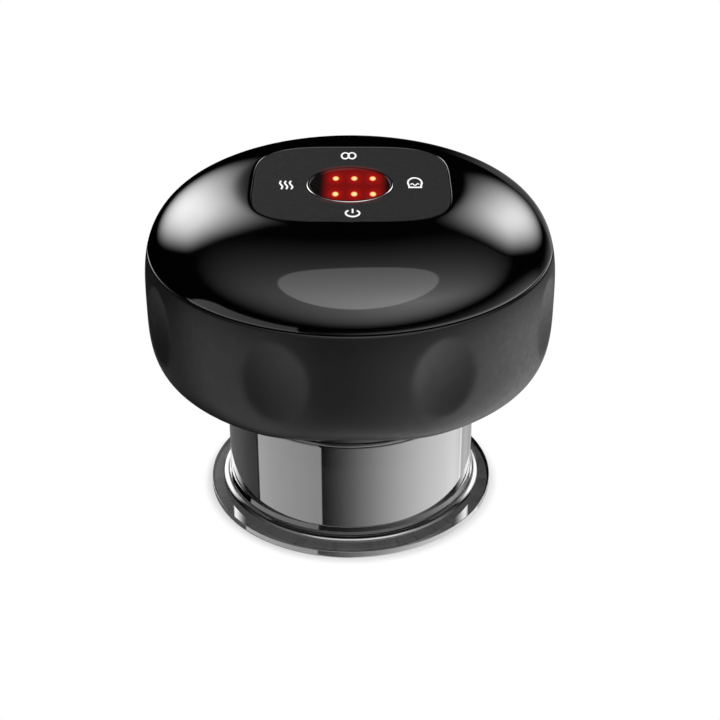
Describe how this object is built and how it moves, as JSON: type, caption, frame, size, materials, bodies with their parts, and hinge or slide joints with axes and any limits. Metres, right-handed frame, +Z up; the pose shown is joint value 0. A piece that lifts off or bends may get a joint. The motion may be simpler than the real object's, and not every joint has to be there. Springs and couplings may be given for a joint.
{
  "type": "electric cupping massager",
  "caption": "Palm-sized electric suction massager: a round two-part housing with a key panel and lit window on top, standing on a push-on clear suction cup.",
  "frame": {"origin": "centre of the cup's flat foot, on the surface it stands on", "axes": "+Z up through the keypad, -Y the front with the power key, +Y the back with the charging port"},
  "size_m": [0.095, 0.095, 0.0792],
  "materials": {
    "gloss_black": "piano black, polished",
    "matt_charcoal": "fine matt, rubber-touch lacquer",
    "soft_panel": "smooth matt silicone",
    "smoke_clear": "polished smoke-grey polycarbonate",
    "window_smoke": "polished, dark smoke",
    "bright_ring": "bright chrome",
    "seal_rubber": "matt black",
    "hose_silicone": "milky silicone",
    "frame_plastic": "plain moulded",
    "board_green": "green solder mask",
    "chip_black": "moulded black",
    "led_red": "red, lit",
    "steel": "satin",
    "motor_can": "zinc plated can, weighed as a hollow motor",
    "brass": "turned",
    "cell_wrap": "blue shrink wrap, weighed as a lithium cell",
    "filter_foam": "open foam",
    "heater_amber": "amber film",
    "lead_red": "red insulation",
    "lead_white": "white insulation"
  },
  "bodies": {
    "housing": {"air_tee": "frame_plastic", "battery_cell": "cell_wrap", "battery_lead": "lead_red", "board_screw_1": "steel", "board_screw_2": "steel", "board_screw_3": "steel", "charge_board": "board_green", "charge_port": "steel", "controller_chip": "chip_black", "cup_seal": "seal_rubber", "display_bezel": "bright_ring", "display_led_1": "led_red", "display_led_2": "led_red", "display_led_3": "led_red", "display_led_4": "led_red", "display_led_5": "led_red", "display_led_6": "led_red", "display_window": "window_smoke", "grip_housing": "matt_charcoal", "head_base": "matt_charcoal", "head_screw_1": "steel", "head_screw_2": "steel", "head_screw_3": "steel", "heat_plate": "steel", "heat_sensor": "chip_black", "heater_film": "heater_amber", "heater_lead": "heater_amber", "inner_frame": "frame_plastic", "intake_filter": "filter_foam", "intake_hose": "hose_silicone", "keypad": "soft_panel", "light_guide": "frame_plastic", "main_board": "board_green", "pump_cap": "frame_plastic", "pump_diaphragm": "seal_rubber", "pump_head": "frame_plastic", "pump_hose": "hose_silicone", "pump_lead": "lead_white", "pump_motor": "motor_can", "seam_gasket": "seal_rubber", "switch_heat": "chip_black", "switch_mode": "chip_black", "switch_power": "chip_black", "switch_suction": "chip_black", "top_cover": "gloss_black", "valve_body": "chip_black", "valve_hose": "hose_silicone", "valve_spring": "steel"},
    "power_key": {"key_power": "soft_panel", "switch_stem_power": "steel"},
    "mode_key": {"key_mode": "soft_panel", "switch_stem_mode": "steel"},
    "heat_key": {"key_heat": "soft_panel", "switch_stem_heat": "steel"},
    "suction_key": {"key_suction": "soft_panel", "switch_stem_suction": "steel"},
    "cup": {"cup": "smoke_clear"},
    "pump_rotor": {"pump_shaft": "steel", "pump_eccentric": "brass"},
    "plunger": {"valve_plunger": "steel"}
  },
  "joints": [
    {"name": "power_press", "type": "slide", "parent": "housing", "child": "power_key", "axis": [0, 0, -1], "range_m": [0, 0.00035], "stiffness_N_per_m": 2000, "springref_m": -0.0003},
    {"name": "mode_press", "type": "slide", "parent": "housing", "child": "mode_key", "axis": [0, 0, -1], "range_m": [0, 0.00035], "stiffness_N_per_m": 2000, "springref_m": -0.0003},
    {"name": "heat_press", "type": "slide", "parent": "housing", "child": "heat_key", "axis": [0, 0, -1], "range_m": [0, 0.00035], "stiffness_N_per_m": 2000, "springref_m": -0.0003},
    {"name": "suction_press", "type": "slide", "parent": "housing", "child": "suction_key", "axis": [0, 0, -1], "range_m": [0, 0.00035], "stiffness_N_per_m": 2000, "springref_m": -0.0003},
    {"name": "cup_pull", "type": "slide", "parent": "housing", "child": "cup", "axis": [0, 0, -1], "range_m": [0, 0.009]},
    {"name": "pump_spin", "type": "hinge", "parent": "housing", "child": "pump_rotor", "pos_m": [0, -0.0191, 0.0566], "axis": [1, 0, 0], "continuous": true},
    {"name": "valve_close", "type": "slide", "parent": "housing", "child": "plunger", "axis": [0, 0, -1], "range_m": [0, 0.0015], "stiffness_N_per_m": 200, "springref_m": -0.002, "deforming": ["valve_spring"]}
  ]
}
